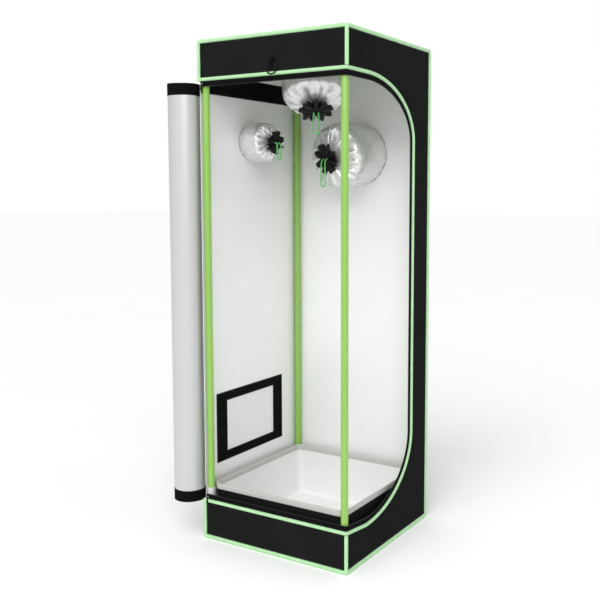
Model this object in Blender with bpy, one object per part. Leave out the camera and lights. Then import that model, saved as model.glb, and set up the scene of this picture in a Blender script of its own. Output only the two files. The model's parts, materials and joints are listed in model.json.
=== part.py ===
"""Indoor growing tent on a pole frame: lined fabric skin, wrap-round doorway, duct sleeves and tray.

Frame: metres, +Z up, origin on the ground at the middle of the footprint, -Y is the front,
+X is the side that the doorway wraps round to. The door is rolled up beside the front left corner.
"""
import math

import bmesh
import bpy
from mathutils import Matrix, Vector

# Overall size
WIDTH = 0.610
HEIGHT = 1.780
GAP = 0.0003                      # clearance between pieces that touch

# Skin
CLOTH = 0.0012
PIPE_R = 0.0062                   # piping along the outer edges, which stands proud of the walls
PIPE_AT = WIDTH / 2 - PIPE_R
PIPE_BEND = 0.0065                # its round at a corner of the footprint
DROP_R = PIPE_R - 0.0002          # the upright lengths of it at the front corners
SKIN_OUT = PIPE_AT                # outer face of every wall, from the middle
SKIN_IN = SKIN_OUT - CLOTH
ROOF_OUT = HEIGHT - PIPE_R
WALL_END = PIPE_AT - PIPE_R - GAP # where a wall stops short of the corner piping
ROOF_PIPE_Z = HEIGHT - PIPE_R
FLOOR_PIPE_Z = PIPE_R
WALL_LOW = FLOOR_PIPE_Z + PIPE_R + GAP
WALL_HIGH = ROOF_PIPE_Z - PIPE_R - GAP

# Steel frame
POLE_R = 0.0125
POLE_WALL = 0.0008
POLE_AT = WIDTH / 2 - 0.0228
RAIL_LOW_Z = 0.0196
RAIL_HIGH_Z = HEIGHT - 0.0230
SOCKET_R = 0.0146
SOCKET_REACH = 0.0450
SOCKET_HEEL = 0.0060              # how far a leg runs on past the corner's middle
LEG_STEP = 0.0003                 # each leg is a little slimmer than the one before
SOCKET_BORE = POLE_R + GAP
POLE_SEAT = 0.0180                # distance of a tube's end from its corner's middle
SOCKET_FLOOR = 0.0160

STRAP_LOW = 0.150
STRAP_HIGH = 0.038
STRAP_THICK = 0.0018

# Doorway: straight across the front, round the right-hand corner, and back in a D
DOOR_TOP = 1.645
DOOR_LOW = 0.140
DOOR_BACK = 0.170
DOOR_ARC = 0.340                  # how far in front of its back the two rounds start
DOOR_ARC_HIGH = 0.210             # height of the upper round
DOOR_ARC_LOW = 0.250
DOOR_SAG = 0.014                  # how much lower the bottom line is there than at the corner
DOOR_SLOPE = DOOR_SAG / (DOOR_BACK - DOOR_ARC + SKIN_OUT)
EDGE_PIPE_R = 0.0060
EDGE_PIPE_OUT = SKIN_OUT
EDGE_FLAT = 0.0030                # its flat back, towards the poles
TAPE_WIDTH = 0.018
TAPE_MIDDLE = EDGE_PIPE_R + GAP + TAPE_WIDTH / 2
TAPE_OUT = SKIN_OUT - CLOTH / 2
TAPE_THICK = 0.0010
SLIDER_X = -0.284
SLIDER_FRONT = -WIDTH / 2 - 0.0026
SLIDER_WIDE = 0.008
SLIDER_HALF = 0.005               # half the height of a slider's body
PULL_THICK = 0.0018
PULL_HANG = 0.022                 # how far the pull tab reaches below the slider's middle

# Rolled door
ROLL_R = 0.060
HINGE_X = -WIDTH / 2
HINGE_Y = -WIDTH / 2
ROLL_X = HINGE_X - ROLL_R - 0.0020
ROLL_LOW = 0.140
ROLL_HIGH = 1.632
ROLL_HEM = 0.041
ROLL_WALL = 0.0056                # thickness of all the cloth wound round the hollow core

# Duct ports: middle, way in, radius of the hole, of the barrel, length, cuff radius, cord drop,
# and the way and the angle (degrees) that the tied end leans over
PORTS = {
    "left": {"at": (-SKIN_IN, -0.023, 1.4425), "way": (1, 0, 0), "hole": 0.057, "barrel": 0.075,
             "length": 0.116, "cuff": 0.045, "drop": 0.062, "lean": (0.0, -0.8660, -0.5), "angle": 8},
    "back": {"at": (0.004, SKIN_IN, 1.400), "way": (0, -1, 0), "hole": 0.118, "barrel": 0.128,
             "length": 0.194, "cuff": 0.060, "drop": 0.100, "lean": (-0.7547, 0.0, -0.6561), "angle": 16},
    "roof": {"at": (0.005, -0.038, ROOF_OUT - CLOTH), "way": (0, 0, -1), "hole": 0.101,
             "barrel": 0.1165, "length": 0.228, "cuff": 0.062, "drop": 0.075,
             "lean": (0.6561, -0.7547, 0.0), "angle": 30},
}
SLEEVE_THICK = 0.0012
SWELL = 0.42                      # share of a sleeve's length where it is widest
FALL_STEPS = 9
FALL_EASE = 0.45                  # how its rings crowd towards the neck
FALL_POWER = 5.0                  # how full it stays before it closes
CUTTER_REACH = 0.020
NECK_R = 0.014
CUFF_DEPTH = 0.022
CUFF_SHAPE = ((0.25, 0.66), (0.55, 1.0), (0.80, 0.93), (0.95, 0.10))  # shares of depth and radius
CORD_R = 0.0025
CORD_SPREAD = 0.011               # half the width of a drawstring's hanging loop
CORD_REACH = 0.012                # how far it runs straight out before it falls
CORD_FALL = 1.6

# Ventilation window low on the left wall
VENT_Y = -0.022
VENT_Z = 0.387
VENT_HALF_Y = 0.208
VENT_HALF_Z = 0.130
VENT_BORDER_Y = 0.062             # width of the border's upright sides
VENT_BORDER_Z = 0.035             # and of its top and bottom
VENT_EDGE = 0.003                 # how far the border laps over the wall's hole
BORDER_THICK = 0.0015
MESH_THICK = 0.0008
FLAP_HALF_Y = 0.180
FLAP_LENGTH = 0.246
FLAP_THICK = 0.0012
FLAP_AXIS_X = -SKIN_OUT - FLAP_THICK - GAP
FLAP_AXIS_Z = 0.262

# Floor tray
TRAY_HALF = 0.2655                # at its floor, between the lower rails
TRAY_TOP_HALF = 0.2780            # at its rim, where it spreads between the poles
TRAY_ROUND = 0.0260
TRAY_HIGH = 0.204
TRAY_WALL = 0.0015

# Hanging bars under the roof
BAR_R = 0.008
BAR_Y = 0.200
CLIP_LENGTH = 0.026
CLIP_THICK = 0.0022

# Hanging ring at the middle of the front band
RING_R = 0.0185
RING_WIRE = 0.0026
RING_X = 0.017
RING_Y = -0.3090
RING_Z = DOOR_TOP + 0.0150
TAB_THICK = 0.0012
TAB_SLACK = 0.0018                # room round the wire inside the webbing loop
TAB_WIDE = 0.012
TAB_HIGH = 0.012

BLACK_CLOTH = ("black_oxford", (0.020, 0.020, 0.022), 0.75, 0.0)
MINT = ("mint_binding", (0.370, 0.800, 0.350), 0.65, 0.0)
GREEN_PAINT = ("green_paint", (0.300, 0.680, 0.110), 0.30, 0.0)
WHITE_PLASTIC = ("white_plastic", (0.820, 0.830, 0.820), 0.45, 0.0)
BLACK_PLASTIC = ("black_plastic", (0.015, 0.015, 0.016), 0.40, 0.0)
FOIL = ("silver_foil", (0.780, 0.790, 0.790), 0.22, 0.9)
WHITE_MESH = ("white_mesh", (0.850, 0.880, 0.850), 0.80, 0.0)
GREEN_CORD = ("green_cord", (0.150, 0.620, 0.140), 0.70, 0.0)
DARK_METAL = ("dark_metal", (0.060, 0.060, 0.065), 0.35, 0.9)
WHITE_WEB = ("white_webbing", (0.800, 0.820, 0.790), 0.80, 0.0)
TAPE_CLOTH = ("zip_tape", (0.012, 0.012, 0.013), 0.80, 0.0)

X, Y, Z = Vector((1, 0, 0)), Vector((0, 1, 0)), Vector((0, 0, 1))
SIDES = 16                        # round a tube
SOCKET_SIDES = 12
PIPING_SIDES = 8
PORT_SIDES = 20
CUFF_SIDES = 16
ROLL_SIDES = 24
ARC_STEPS = 10                    # along a quarter of the doorway's round


def clear_scene():
    for old in list(bpy.data.objects):
        bpy.data.objects.remove(old, do_unlink=True)


def material(finish):
    """The finish's material, made once."""
    name, colour, roughness, metallic = finish
    found = bpy.data.materials.get(name)
    if found:
        return found
    made = bpy.data.materials.new(name)
    made.use_nodes = True
    shader = made.node_tree.nodes["Principled BSDF"]
    shader.inputs["Base Color"].default_value = (*colour, 1.0)
    shader.inputs["Roughness"].default_value = roughness
    shader.inputs["Metallic"].default_value = metallic
    made.diffuse_color = (*colour, 1.0)
    return made


def solid(name, points, faces, finish, smooth=False):
    """One closed mesh object, with its faces turned outwards."""
    mesh = bpy.data.meshes.new(name)
    mesh.from_pydata([tuple(p) for p in points], [], faces)
    shell = bmesh.new()
    shell.from_mesh(mesh)
    bmesh.ops.recalc_face_normals(shell, faces=shell.faces)
    shell.to_mesh(mesh)
    shell.free()
    if smooth:
        mesh.shade_smooth()
        mesh.set_sharp_from_angle(angle=math.radians(40))
    mesh.materials.append(material(finish))
    made = bpy.data.objects.new(name, mesh)
    bpy.context.collection.objects.link(made)
    return made


def box(name, low, high, finish):
    corners = [(x, y, z) for z in (low[2], high[2]) for y in (low[1], high[1])
               for x in (low[0], high[0])]
    faces = [(0, 1, 3, 2), (4, 5, 7, 6), (0, 1, 5, 4), (2, 3, 7, 6), (0, 2, 6, 4), (1, 3, 7, 5)]
    return solid(name, corners, faces, finish)


def slab(name, outline, depth, finish):
    """A flat outline given in 3-D, pushed out along a depth vector."""
    count = len(outline)
    points = [Vector(p) for p in outline] + [Vector(p) + depth for p in outline]
    faces = [tuple(range(count)), tuple(range(2 * count - 1, count - 1, -1))]
    faces += [(i, (i + 1) % count, count + (i + 1) % count, count + i) for i in range(count)]
    return solid(name, points, faces, finish)


def sweep(name, stations, section, finish, closed=False, smooth=True):
    """A section of (a, b) pairs carried along stations of (point, a direction, b direction)."""
    points = [at + u * a + v * b for at, u, v in stations for a, b in section]
    size = len(section)
    runs = len(stations) if closed else len(stations) - 1
    faces = []
    for i in range(runs):
        here, there = i * size, ((i + 1) % len(stations)) * size
        for k in range(size):
            after = (k + 1) % size
            faces.append((here + k, here + after, there + after, there + k))
    if not closed:
        last = (len(stations) - 1) * size
        faces.append(tuple(range(size)))
        faces.append(tuple(range(last + size - 1, last - 1, -1)))
    return solid(name, points, faces, finish, smooth)


def circle(radius, sides=8):
    turn = 2 * math.pi / sides
    return [(radius * math.cos(i * turn), radius * math.sin(i * turn)) for i in range(sides)]


def across(way):
    """Two directions square to a way."""
    way = Vector(way)
    first = Z if abs(way.z) < 0.9 else X
    side = way.cross(first).normalized()
    return side, way.cross(side).normalized()


def rod(name, start, end, radius, finish, sides=SIDES):
    start, end = Vector(start), Vector(end)
    u, v = across((end - start).normalized())
    return sweep(name, [(start, u, v), (end, u, v)], circle(radius, sides), finish)


def pipe(name, start, end, radius, wall, finish, sides=SIDES):
    """A hollow tube, open at both ends."""
    start, end = Vector(start), Vector(end)
    u, v = across((end - start).normalized())
    rings = [(start, radius), (end, radius), (end, radius - wall), (start, radius - wall)]
    points = [at + u * a + v * b for at, r in rings for a, b in circle(r, sides)]
    faces = []
    for i in range(4):
        here, there = i * sides, ((i + 1) % 4) * sides
        for k in range(sides):
            after = (k + 1) % sides
            faces.append((here + k, here + after, there + after, there + k))
    return solid(name, points, faces, finish, smooth=True)


def turned(name, at, way, profile, finish, sides):
    """A profile of (distance along, radius) spun about a way; both its ends lie on the axis."""
    at, way = Vector(at), Vector(way)
    u, v = across(way)
    points = [at + way * profile[0][0]]
    for along, radius in profile[1:-1]:
        points += [at + way * along + u * a + v * b for a, b in circle(radius, sides)]
    points.append(at + way * profile[-1][0])
    last = len(points) - 1
    faces = [(0, 1 + k, 1 + (k + 1) % sides) for k in range(sides)]
    for i in range(len(profile) - 3):
        here, there = 1 + i * sides, 1 + (i + 1) * sides
        for k in range(sides):
            after = (k + 1) % sides
            faces.append((here + k, here + after, there + after, there + k))
    end = 1 + (len(profile) - 3) * sides
    faces += [(end + k, end + (k + 1) % sides, last) for k in range(sides)]
    return solid(name, points, faces, finish, smooth=True)


def helper(made):
    """Mark a shape that only cuts or joins another."""
    made.hide_render = True
    made.display_type = "WIRE"
    return made


def combine(target, tool, operation):
    step = target.modifiers.new(operation.lower(), "BOOLEAN")
    step.operation = operation
    step.solver = "EXACT"
    step.object = helper(tool)


def put_origin(made, at):
    """Move an object's origin to a point on its joint's axis, leaving its shape in place."""
    at = Vector(at)
    made.data.transform(Matrix.Translation(-at))
    made.location = at


def carry(name, at, pieces):
    """An empty on a joint's axis that carries the pieces of one moving body."""
    hub = bpy.data.objects.new(name, None)
    hub.location = at
    bpy.context.collection.objects.link(hub)
    for piece in pieces:
        piece.data.transform(Matrix.Translation(-Vector(at)))
        piece.parent = hub


def make_frame():
    """Four uprights and eight rails, with a three-way socket at each corner."""
    for side, x in (("left", -POLE_AT), ("right", POLE_AT)):
        for end, y in (("front", -POLE_AT), ("back", POLE_AT)):
            low, high = (x, y, RAIL_LOW_Z + POLE_SEAT), (x, y, RAIL_HIGH_Z - POLE_SEAT)
            pipe(f"upright_{end}_{side}", low, high, POLE_R, POLE_WALL, GREEN_PAINT)
            for level, z, up in (("lower", RAIL_LOW_Z, 1), ("upper", RAIL_HIGH_Z, -1)):
                ways = (Vector((-math.copysign(1, x), 0, 0)), Vector((0, -math.copysign(1, y), 0)),
                        Vector((0, 0, up)))
                make_socket(f"corner_{level}_{end}_{side}", Vector((x, y, z)), ways)
    inner = POLE_AT - POLE_SEAT
    for level, z in (("lower", RAIL_LOW_Z), ("upper", RAIL_HIGH_Z)):
        for end, y in (("front", -POLE_AT), ("back", POLE_AT)):
            pipe(f"rail_{level}_{end}", (-inner, y, z), (inner, y, z), POLE_R, POLE_WALL, GREEN_PAINT)
        for side, x in (("left", -POLE_AT), ("right", POLE_AT)):
            pipe(f"rail_{level}_{side}", (x, -inner, z), (x, inner, z), POLE_R, POLE_WALL, GREEN_PAINT)


def make_socket(name, at, ways):
    """A plastic corner: three legs at right angles, each bored to take a tube's end."""
    legs = []
    for i, way in enumerate(ways):
        heel, radius = SOCKET_HEEL + i * LEG_STEP, SOCKET_R - i * LEG_STEP
        legs.append(rod(f"{name}_leg_{i}" if i else name, at - way * heel, at + way * SOCKET_REACH,
                        radius, WHITE_PLASTIC, SOCKET_SIDES))
    for leg in legs[1:]:
        combine(legs[0], leg, "UNION")
    for i, way in enumerate(ways):
        bore = rod(f"{name}_bore_{i}", at + way * SOCKET_FLOOR, at + way * (SOCKET_REACH * 1.2),
                   SOCKET_BORE, WHITE_PLASTIC)
        combine(legs[0], bore, "DIFFERENCE")


def make_pole_strap():
    """The white strap that ties the side wall's front hem to the front left upright."""
    inner, outer = POLE_R + GAP, POLE_R + GAP + STRAP_THICK
    section = [(0.0, 0.0), (outer - inner, 0.0), (outer - inner, STRAP_HIGH), (0.0, STRAP_HIGH)]
    stations = []
    for i in range(SIDES):
        turn = 2 * math.pi * i / SIDES
        out = Vector((math.cos(turn), math.sin(turn), 0))
        stations.append((Vector((-POLE_AT, -POLE_AT, STRAP_LOW)) + out * inner, out, Z))
    sweep("pole_strap", stations, section, WHITE_WEB, closed=True)


def make_hanging_bars():
    """Two bars across the top rails, each with a clip on both ends that saddles the rail."""
    bar_z = RAIL_HIGH_Z
    clip_x = POLE_AT - POLE_R - GAP
    for end, y in (("front", -BAR_Y), ("back", BAR_Y)):
        bar = pipe(f"hanging_bar_{end}", (-clip_x + CLIP_THICK + GAP, y, bar_z),
                   (clip_x - CLIP_THICK - GAP, y, bar_z), BAR_R, POLE_WALL, GREEN_PAINT, SOCKET_SIDES)
        clips = [make_clip(f"bar_clip_{end}_{side}", sign, y, bar_z)
                 for side, sign in (("left", -1), ("right", 1))]
        carry(f"hanging_bar_{end}_slide", (0, y, bar_z), [bar] + clips)


def make_clip(name, sign, y, z):
    """A plastic saddle, an arch in section, that hooks over a top rail from the inside."""
    inner, outer = POLE_R + GAP, POLE_R + GAP + CLIP_THICK
    steps = SIDES // 2
    arch = [math.pi * i / steps for i in range(steps + 1)]
    outline = [(math.cos(a) * inner, math.sin(a) * inner) for a in arch]
    outline += [(math.cos(a) * outer, math.sin(a) * outer) for a in reversed(arch)]
    middle = sign * POLE_AT
    points = [(middle + a, y - CLIP_LENGTH / 2, z + b) for a, b in outline]
    return slab(name, points, Vector((0, CLIP_LENGTH, 0)), BLACK_PLASTIC)


def make_skin():
    """The cut panels: floor, roof, three walls and the two bands across the front."""
    end = WALL_END
    box("floor_panel", (-end, -end, 0.0), (end, end, CLOTH), BLACK_CLOTH)
    roof = box("roof_panel", (-end, -end, ROOF_OUT - CLOTH), (end, end, ROOF_OUT), BLACK_CLOTH)
    back = box("back_wall", (-end, SKIN_IN, WALL_LOW), (end, SKIN_OUT, WALL_HIGH), BLACK_CLOTH)
    left = box("left_wall", (-SKIN_OUT, -end, WALL_LOW), (-SKIN_IN, end, WALL_HIGH), BLACK_CLOTH)
    edge = EDGE_PIPE_R + GAP
    box("front_top_band", (-end, -SKIN_OUT, DOOR_TOP + edge), (end, -SKIN_IN, WALL_HIGH), BLACK_CLOTH)
    box("front_lower_band", (-end, -SKIN_OUT, WALL_LOW), (end, -SKIN_IN, DOOR_LOW - edge), BLACK_CLOTH)
    make_right_wall()
    for wall, port in ((roof, "roof"), (back, "back"), (left, "left")):
        spec = PORTS[port]
        at, way = Vector(spec["at"]), Vector(spec["way"])
        hole = rod(f"{port}_port_hole", at - way * CUTTER_REACH, at + way * CUTTER_REACH, spec["hole"],
                   BLACK_CLOTH, PORT_SIDES)
        combine(wall, hole, "DIFFERENCE")
    half_y = VENT_HALF_Y - VENT_BORDER_Y + VENT_EDGE
    half_z = VENT_HALF_Z - VENT_BORDER_Z + VENT_EDGE
    window = box("vent_hole", (-SKIN_OUT - CUTTER_REACH, VENT_Y - half_y, VENT_Z - half_z),
                 (-SKIN_IN + CUTTER_REACH, VENT_Y + half_y, VENT_Z + half_z), BLACK_CLOTH)
    combine(left, window, "DIFFERENCE")


def make_right_wall():
    """The right wall, a C: full height at the back, with the doorway's D cut out of its front."""
    edge = EDGE_PIPE_R + GAP
    outline = [(-WALL_END, WALL_LOW), (WALL_END, WALL_LOW), (WALL_END, WALL_HIGH),
               (-WALL_END, WALL_HIGH), (-WALL_END, DOOR_TOP + edge)]
    outline += [(point.y, point.z) for point, _ in doorway_round(-edge)]
    outline.append((-WALL_END, DOOR_LOW - edge - DOOR_SLOPE * (SKIN_OUT - WALL_END)))
    slab("right_wall", [(SKIN_IN, y, z) for y, z in outline], Vector((CLOTH, 0, 0)), BLACK_CLOTH)


def doorway_round(inset):
    """(point, way out of the opening) down the D's two rounds, moved into the opening by inset."""
    middle_y = DOOR_BACK - DOOR_ARC
    rounds = ((DOOR_TOP - DOOR_ARC_HIGH, DOOR_ARC_HIGH, math.pi / 2, 0.0),
              (DOOR_LOW - DOOR_SAG + DOOR_ARC_LOW, DOOR_ARC_LOW, 0.0, -math.pi / 2))
    line = []
    for middle_z, height, start, end in rounds:
        for i in range(ARC_STEPS + 1):
            turn = start + (end - start) * i / ARC_STEPS
            across_y, across_z = math.cos(turn), math.sin(turn)
            way = Vector((0, across_y / DOOR_ARC, across_z / height)).normalized()
            point = Vector((0, middle_y + DOOR_ARC * across_y, middle_z + height * across_z))
            line.append((point - way * inset, way))
    return line


def ring_stations(z):
    """Stations round the footprint's edge, with a small round at each corner."""
    stations = []
    for quarter in range(4):
        start = quarter * math.pi / 2
        middle = Vector((math.cos(start + math.pi / 4), math.sin(start + math.pi / 4), 0))
        middle *= (PIPE_AT - PIPE_BEND) * math.sqrt(2)
        for i in range(4):
            turn = start + math.pi / 2 * i / 3
            out = Vector((math.cos(turn), math.sin(turn), 0))
            stations.append((middle + out * PIPE_BEND + Z * z, out, Z))
    return stations


def make_edge_piping():
    """Binding along the outer edges. The front corners carry it beside the two bands only."""
    end = EDGE_PIPE_R + GAP
    top = sweep("piping_top", ring_stations(ROOF_PIPE_Z), circle(PIPE_R), MINT, closed=True)
    low = sweep("piping_bottom", ring_stations(FLOOR_PIPE_Z), circle(PIPE_R), MINT, closed=True)
    dip = DOOR_SLOPE * 2 * PIPE_R
    for x, shift, lower in ((-PIPE_AT, -EDGE_PIPE_R, 0.0), (PIPE_AT, end, dip)):
        drop = rod("piping_drop", (x, -PIPE_AT, DOOR_TOP + shift), (x, -PIPE_AT, ROOF_PIPE_Z),
                   DROP_R, MINT, PIPING_SIDES)
        combine(top, drop, "UNION")
        rise = rod("piping_rise", (x, -PIPE_AT, FLOOR_PIPE_Z),
                   (x, -PIPE_AT, DOOR_LOW - shift - lower), DROP_R, MINT, PIPING_SIDES)
        combine(low, rise, "UNION")
    for side, x in (("left", -PIPE_AT), ("right", PIPE_AT)):
        rod(f"piping_back_{side}", (x, PIPE_AT, WALL_LOW), (x, PIPE_AT, WALL_HIGH), PIPE_R, MINT,
            PIPING_SIDES)


def doorway_stations(inset, out):
    """Stations along the doorway's edge: (point, way to the opening, way out of the wall).

    The line runs from the front left corner across the top, round the right corner, down the D
    and back along the bottom. inset moves it into the opening, and out is its distance from the
    middle of the tent.
    """
    high, low = DOOR_TOP - inset, DOOR_LOW + inset
    start, corner = Vector((-WALL_END, -out, 0)), Vector((out, -out, 0))
    both = Vector((1, -1, 0))
    stations = [(start + Z * high, -Z, -Y), (corner + Z * high, -Z, both)]
    stations += [(point + X * out, -way, X) for point, way in doorway_round(inset)]
    stations += [(corner + Z * low, Z, both), (start + Z * low, Z, -Y)]
    return stations


def make_doorway_edge():
    """Binding round the doorway, and half of the zip on its tape just inside it."""
    rounded = [(a, max(b, -EDGE_FLAT)) for a, b in circle(EDGE_PIPE_R)]
    sweep("piping_doorway", doorway_stations(0.0, EDGE_PIPE_OUT), rounded, MINT)
    half, thick = TAPE_WIDTH / 2, TAPE_THICK / 2
    section = [(-half, -thick), (half, -thick), (half, thick), (-half, thick)]
    sweep("zip_tape", doorway_stations(TAPE_MIDDLE, TAPE_OUT), section, TAPE_CLOTH, smooth=False)
    make_slider("zip_slider_upper", DOOR_TOP - TAPE_MIDDLE)
    make_slider("zip_slider_lower", DOOR_LOW + TAPE_MIDDLE)


def make_slider(name, z):
    """A zip slider at the open end of the front tape, with its pull tab hanging in front."""
    back, front = -TAPE_OUT - TAPE_THICK / 2 - GAP, SLIDER_FRONT
    tab, top, low, hang = front + PULL_THICK, z + SLIDER_HALF, z - SLIDER_HALF, z - PULL_HANG
    outline = [(back, top), (front, top), (front, hang), (tab, hang), (tab, low), (back, low)]
    made = slab(name, [(SLIDER_X - SLIDER_WIDE / 2, y, height) for y, height in outline],
                Vector((SLIDER_WIDE, 0, 0)), DARK_METAL)
    put_origin(made, (SLIDER_X, front, z))


def make_rolled_door():
    """The door, rolled up into a hollow column beside the front left corner, dark hems at its ends."""
    low, high = ROLL_LOW + ROLL_HEM, ROLL_HIGH - ROLL_HEM
    pieces = []
    for name, start, end, finish in (("door_roll", low, high, FOIL),
                                     ("door_hem_lower", ROLL_LOW, low - GAP, BLACK_CLOTH),
                                     ("door_hem_upper", high + GAP, ROLL_HIGH, BLACK_CLOTH)):
        pieces.append(pipe(name, (ROLL_X, HINGE_Y, start), (ROLL_X, HINGE_Y, end), ROLL_R, ROLL_WALL,
                           finish, ROLL_SIDES))
    carry("door_swing", (HINGE_X, HINGE_Y, ROLL_LOW), pieces)


def barrel_profile(spec):
    """(distance along, radius) from the wall to the tied neck of a sleeve's outer face."""
    hole, barrel, length = spec["hole"] + SLEEVE_THICK, spec["barrel"], spec["length"]
    swell = SWELL * length
    rise = [(swell * t, hole + (barrel - hole) * math.sin(math.pi / 2 * t)) for t in (0, 0.33, 0.66, 1)]
    fall = []
    for i in range(1, FALL_STEPS + 1):
        t = (i / FALL_STEPS) ** FALL_EASE
        full = math.sqrt(1 - t ** FALL_POWER)
        fall.append((swell + (length - swell) * t, NECK_R + (barrel - NECK_R) * full))
    return rise + fall


def bent(point, spec):
    """Where a point of a straight sleeve or cuff lies once the sleeve's tied end leans over."""
    at, way, lean = Vector(spec["at"]), Vector(spec["way"]), Vector(spec["lean"])
    offset = point - at
    along, side = offset.dot(way), offset.dot(lean)
    done = max(0.0, min(spec["length"], along))
    turn = math.radians(spec["angle"]) * done / spec["length"]
    middle = at + (way * math.cos(turn / 2) + lean * math.sin(turn / 2)) * done
    middle += (way * math.cos(turn) + lean * math.sin(turn)) * (along - done)
    return (middle + offset - way * along - lean * side
            + (lean * math.cos(turn) - way * math.sin(turn)) * side)


def bend_end(made, spec):
    """Bend a straight sleeve or its cuff."""
    for vertex in made.data.vertices:
        vertex.co = bent(vertex.co, spec)


def make_ports():
    """At each port: a sleeve that hangs inwards, its gathered cuff, and the drawstring's loop."""
    for port, spec in PORTS.items():
        at, way = Vector(spec["at"]), Vector(spec["way"])
        outer = [(along + GAP, radius) for along, radius in barrel_profile(spec)]
        inner = [(min(along, spec["length"] - 2 * SLEEVE_THICK) + GAP, radius - SLEEVE_THICK)
                 for along, radius in barrel_profile(spec)]
        inner[-1] = (spec["length"] - SLEEVE_THICK + GAP, NECK_R - SLEEVE_THICK)
        profile = [(inner[-1][0], 0.0)] + inner[::-1] + outer + [(outer[-1][0], 0.0)]
        bend_end(turned(f"sleeve_{port}", at, way, profile, FOIL, PORT_SIDES), spec)
        tip = at + way * (spec["length"] + 2 * GAP)
        cup = [(CUFF_DEPTH * along, spec["cuff"] * out) for along, out in CUFF_SHAPE]
        cup = [(0.0, 0.0), (0.0, NECK_R * 0.8)] + cup + [(cup[-1][0], 0.0)]
        bend_end(turned(f"cuff_{port}", tip, way, cup, BLACK_CLOTH, CUFF_SIDES), spec)
        mouth = tip + way * (CUFF_DEPTH + GAP)
        axis = (bent(mouth, spec) - bent(tip, spec)).normalized()
        make_drawstring(f"drawstring_{port}", bent(mouth, spec), axis, spec["drop"])


def make_drawstring(name, mouth, way, drop):
    """A cord's hanging loop: out of the cuff's mouth, down, round and back in beside its start."""
    side = way.cross(Z).normalized()
    lead = -Z if way.z < -0.5 else way
    knots = drawstring_route(mouth, side, lead, drop)
    line = bpy.data.curves.new(name, "CURVE")
    line.dimensions = "3D"
    line.bevel_depth = CORD_R
    line.bevel_resolution = 2
    line.use_fill_caps = True
    spline = line.splines.new("POLY")
    spline.points.add(len(knots) - 1)
    for point, knot in zip(spline.points, knots):
        point.co = (*knot, 1.0)
    line.materials.append(material(GREEN_CORD))
    made = bpy.data.objects.new(name, line)
    bpy.context.collection.objects.link(made)


def drawstring_route(mouth, side, lead, drop):
    """Points of a loop with two hanging legs joined by a half turn, all on one smooth line."""
    spread = CORD_SPREAD
    reach = CORD_REACH if abs(lead.z) < 0.5 else 0.0
    leg = drop - spread
    knots = []
    for i in range(11):
        t = i / 10
        forward = reach * math.sin(min(1.0, t * 3) * math.pi / 2)
        fall = leg * t if reach == 0.0 else leg * t ** CORD_FALL
        ease = spread * (0.75 + 0.25 * math.sin(t * math.pi / 2))
        knots.append(mouth + lead * forward - side * ease - Z * fall)
    turn_at = mouth + lead * reach - Z * leg
    for i in range(1, 8):
        turn = math.pi * i / 8
        knots.append(turn_at - side * spread * math.cos(turn) - Z * spread * math.sin(turn))
    mirror = [mouth + (k - mouth) - 2 * side * (k - mouth).dot(side) for k in knots[:11]]
    return knots + mirror[::-1]


def make_vent():
    """The low window: border, mesh in the wall's hole, and the cover hanging open outside."""
    inner_y, inner_z = VENT_HALF_Y - VENT_BORDER_Y, VENT_HALF_Z - VENT_BORDER_Z
    face = -SKIN_IN + GAP
    border = box("vent_border", (face, VENT_Y - VENT_HALF_Y, VENT_Z - VENT_HALF_Z),
                 (face + BORDER_THICK, VENT_Y + VENT_HALF_Y, VENT_Z + VENT_HALF_Z), TAPE_CLOTH)
    window = box("vent_border_hole", (face - CUTTER_REACH, VENT_Y - inner_y, VENT_Z - inner_z),
                 (face + CUTTER_REACH, VENT_Y + inner_y, VENT_Z + inner_z), TAPE_CLOTH)
    combine(border, window, "DIFFERENCE")
    half_y, half_z = inner_y + VENT_EDGE - GAP, inner_z + VENT_EDGE - GAP
    box("vent_mesh", (-SKIN_OUT, VENT_Y - half_y, VENT_Z - half_z),
        (-SKIN_OUT + MESH_THICK, VENT_Y + half_y, VENT_Z + half_z), WHITE_MESH)
    flap = box("vent_cover", (FLAP_AXIS_X - FLAP_THICK, VENT_Y - FLAP_HALF_Y, FLAP_AXIS_Z - FLAP_LENGTH),
               (FLAP_AXIS_X, VENT_Y + FLAP_HALF_Y, FLAP_AXIS_Z), BLACK_CLOTH)
    put_origin(flap, (FLAP_AXIS_X, VENT_Y, FLAP_AXIS_Z))


def tray_loop(half, z):
    """One loop of the tray: a square with rounded corners."""
    loop = []
    for quarter in range(4):
        start = quarter * math.pi / 2
        middle = Vector((math.cos(start + math.pi / 4), math.sin(start + math.pi / 4), 0))
        middle *= (half - TRAY_ROUND) * math.sqrt(2)
        for i in range(4):
            turn = start + math.pi / 2 * i / 3
            loop.append(middle + Vector((math.cos(turn), math.sin(turn), 0)) * TRAY_ROUND + Z * z)
    return loop


def make_tray():
    """The lift-out spill tray: floor between the lower rails, walls leaning out between the poles."""
    wall, low = TRAY_WALL, CLOTH + GAP
    heights = ((TRAY_HALF, low), (TRAY_TOP_HALF, TRAY_HIGH), (TRAY_TOP_HALF - wall, TRAY_HIGH),
               (TRAY_HALF - wall, low + wall))
    points = [p for half, z in heights for p in tray_loop(half, z)]
    size = len(points) // len(heights)
    faces = [tuple(range(size)), tuple(range(3 * size, 4 * size))]
    for ring in range(3):
        for k in range(size):
            here, after = ring * size + k, ring * size + (k + 1) % size
            faces.append((here, after, after + size, here + size))
    made = solid("floor_tray", points, faces, BLACK_CLOTH)
    put_origin(made, (0, 0, low))


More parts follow.
